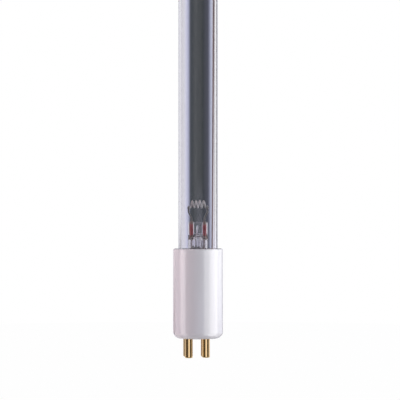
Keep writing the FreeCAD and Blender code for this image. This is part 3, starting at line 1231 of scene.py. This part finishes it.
@dataclass
class Studio:
    """Backdrop, floor, softboxes and camera of the photograph."""

    pixel: float = 0.3817 * MM
    picture: int = 400
    axis_x_pixel: float = 198.0
    cap_face_pixel: float = 338.2
    lens: float = 200.0
    sensor: float = 36.0
    view_depth: float = 10.0
    floor_drop: float = 0.1 * MM
    floor_radius: float = 0.25
    floor_sides: int = 96
    floor_tone: float = 0.9
    floor_white: float = 0.985
    table_band: tuple[float, float] = (-0.13, 0.068)
    band_fade: float = 0.04
    ambient: Colour = (0.86, 0.9, 1.0)
    ambient_strength: float = 0.36

    def build(self) -> None:
        """Sets the whole studio."""
        bpy.context.scene.view_settings.view_transform = "Standard"
        self.set_world()
        self.lay_floor()
        for softbox in ROOM_LIGHTS:
            softbox.hang()
        self.set_camera()

    def set_world(self) -> None:
        """White studio walls with dark gaps, seen in metal and through glass, and a soft ambient light."""
        world = bpy.data.worlds.new("studio_walls")
        bpy.context.scene.world = world
        world.use_nodes = True
        board = NodeBoard(world.node_tree)
        path = board.add("ShaderNodeLightPath").outputs
        way = board.add("ShaderNodeTexCoord").outputs["Generated"]
        turn = board.add("ShaderNodeTexGradient", {"Vector": way}, gradient_type="RADIAL").outputs["Fac"]
        height = board.add("ShaderNodeSeparateXYZ", {0: way}).outputs["Z"]
        middle, half = self.table_band
        off = board.maths("ABSOLUTE", board.maths("SUBTRACT", height, middle))
        beyond = board.rise(off, half, half + self.band_fade)
        walls = board.mix(beyond, board.ramp(turn, self.table_stops()), board.ramp(turn, self.wall_stops()))
        seen = board.mix(path["Is Camera Ray"], walls, WHITE)
        through = board.maths("MAXIMUM", path["Is Glossy Ray"], path["Is Transmission Ray"])
        direct = board.maths("MAXIMUM", through, path["Is Camera Ray"])
        soft = board.add("ShaderNodeBackground", {"Color": (*self.ambient, 1.0),
                                                  "Strength": self.ambient_strength})
        backdrop = board.add("ShaderNodeBackground", {"Color": seen, "Strength": 1.0})
        both = board.add("ShaderNodeMixShader", {0: direct, 1: soft.outputs[0], 2: backdrop.outputs[0]})
        board.add("ShaderNodeOutputWorld", {"Surface": both.outputs[0]})

    @staticmethod
    def stops(*walls: tuple[float, float | Colour]) -> list[tuple[float, Colour]]:
        """Stops round the studio, by direction.

        Args:
            walls: Degrees from the front, positive to the right, each with a grey or a colour.

        Returns:
            Places from 0 to 1 over one turn from -X through the front, -Y, with their colours.
        """
        front = 0.25
        return [(front + angle / 360.0, (tone,) * 3 if isinstance(tone, float) else tone)
                for angle, tone in walls]

    def table_stops(self) -> list[tuple[float, Colour]]:
        """The studio at the table's level, as the pins see it.

        Returns:
            The stops of that band.
        """
        brown = (0.03, 0.016, 0.0)

        def bright(level: float) -> Colour:
            """Warm white light at a level."""
            return level, level * 0.98, level * 1.18

        return self.stops(
            (-90, bright(0.15)), (-80, brown), (-36, brown), (-24, bright(0.12)), (-10, bright(0.66)),
            (2, bright(1.3)), (24, bright(1.3)), (34, bright(0.3)), (42, brown), (62, brown),
            (84, bright(0.2)), (100, bright(0.6)), (114, bright(1.15)), (140, bright(1.4)),
            (150, bright(0.3)), (178, bright(0.3)), (190, bright(0.8)), (202, bright(0.4)), (212, brown),
            (226, brown), (238, bright(0.95)), (262, bright(0.95)), (270, bright(0.15)))

    def wall_stops(self) -> list[tuple[float, Colour]]:
        """The walls with a dark gap behind the lamp, as the tube sees them.

        Returns:
            The stops above and below the table's level.
        """
        left_wall, right_wall = (0.84, 0.835, 0.875), (0.9, 0.88, 0.92)
        gap = (0.02, 0.028, 0.034)
        return self.stops(
            (-90, left_wall), (-84, 0.1), (-32, 0.05), (-12, 0.5), (22, 0.6), (34, 0.35), (48, 0.06),
            (84, 0.08), (94, 0.3), (104, 1.0), (141, 1.15), (145, right_wall), (149, 0.1), (157, 0.1),
            (160, right_wall), (168, (0.74, 0.76, 0.87)), (171.6, (0.65, 0.7, 0.84)),
            (173.3, (0.52, 0.55, 0.7)), (174.6, (0.25, 0.262, 0.34)), (175.6, (0.125, 0.13, 0.17)),
            (176.5, (0.06, 0.066, 0.088)), (177.5, (0.115, 0.122, 0.145)), (178.4, gap),
            (180.0, (0.024, 0.032, 0.038)), (181.3, (0.06, 0.07, 0.076)), (182.3, (0.11, 0.12, 0.132)),
            (183.3, (0.085, 0.097, 0.115)), (183.7, (0.34, 0.365, 0.46)), (184.5, (0.78, 0.8, 1.02)),
            (187.0, (0.95, 0.95, 1.08)), (190.0, left_wall))

    def lay_floor(self) -> None:
        """A plain pale floor that shows white from above, keeps a soft shadow and isn't seen from below."""
        mesh = bmesh.new()
        place = Matrix.Translation((0, 0, CAD_BOUNDS[0][2] - self.floor_drop))
        bmesh.ops.create_circle(mesh, cap_ends=True, segments=self.floor_sides, radius=self.floor_radius,
                                matrix=place)
        data = bpy.data.meshes.new("pale_floor")
        mesh.to_mesh(data)
        mesh.free()
        floor = bpy.data.objects.new("pale_floor", data)
        bpy.context.scene.collection.objects.link(floor)
        paint = bpy.data.materials.new("floor_white")
        paint.use_nodes = True
        board = NodeBoard(paint.node_tree)
        matt = board.add("ShaderNodeBsdfDiffuse", {"Color": (*(self.floor_tone,) * 3, 1.0)})
        white = board.add("ShaderNodeEmission", {"Color": WHITE, "Strength": 1.0})
        path = board.add("ShaderNodeLightPath").outputs
        seen = board.maths("MAXIMUM", board.maths("MAXIMUM", path["Is Camera Ray"], path["Is Glossy Ray"]),
                           path["Is Transmission Ray"])
        share = board.maths("MULTIPLY", seen, self.floor_white)
        both = board.add("ShaderNodeMixShader", {0: share, 1: matt.outputs[0], 2: white.outputs[0]})
        clear = board.add("ShaderNodeBsdfTransparent")
        below = board.add("ShaderNodeNewGeometry").outputs["Backfacing"]
        shown = board.add("ShaderNodeMixShader", {0: below, 1: both.outputs[0], 2: clear.outputs[0]})
        board.add("ShaderNodeOutputMaterial", {"Surface": shown.outputs[0]})
        data.materials.append(paint)
        floor.visible_glossy = False
        floor.visible_transmission = False

    def shine_on(self, caps: Sequence[SceneObject]) -> None:
        """Hangs the panels whose reflections show only in the caps' glaze.

        Args:
            caps: The glazed caps.
        """
        glazed = bpy.data.collections.new("glazed_caps")
        for cap in caps:
            glazed.objects.link(cap)
        for softbox in CAP_PANELS:
            panel = softbox.hang()
            panel.light_linking.receiver_collection = glazed
            panel.visible_diffuse = False
            panel.visible_glossy = True

    def set_camera(self) -> None:
        """A long lens at the photograph's framing, level with the middle of its picture."""
        data = bpy.data.cameras.new("photo_camera")
        data.lens = self.lens
        data.sensor_width = self.sensor
        data.clip_end = self.view_depth
        frame_width = self.picture * self.pixel
        distance = frame_width / 2 / (self.sensor / 2 / self.lens)
        camera = bpy.data.objects.new("photo_camera", data)
        bpy.context.scene.collection.objects.link(camera)
        middle = self.picture / 2
        camera.location = ((middle - self.axis_x_pixel) * self.pixel, -distance,
                           (self.cap_face_pixel - middle) * self.pixel)
        camera.rotation_euler = (radians(90), 0, 0)
        bpy.context.scene.camera = camera


def main() -> None:
    """Builds the lamp and its studio."""
    logging.basicConfig(level=logging.INFO, format="%(name)s %(message)s")
    studio = Studio()
    studio.build()
    tube = GlassTube()
    tube.build()
    pins = [ContactPin(number) for number in range(1, 5)]
    for pin in pins:
        pin.build()
    base_cap = CeramicCap(LampEnd.BASE, floor=6.0).build(pins)
    far_cap = CeramicCap(LampEnd.FAR, floor=2.0).build()
    studio.shine_on([base_cap, far_cap])
    for end in LampEnd:
        ElectrodeMount(end, tube).build()
        CementRing(end, tube).build()
    Wiring(tube, pins).build()
    MercuryBead().build()


if __name__ == "__main__":
    main()
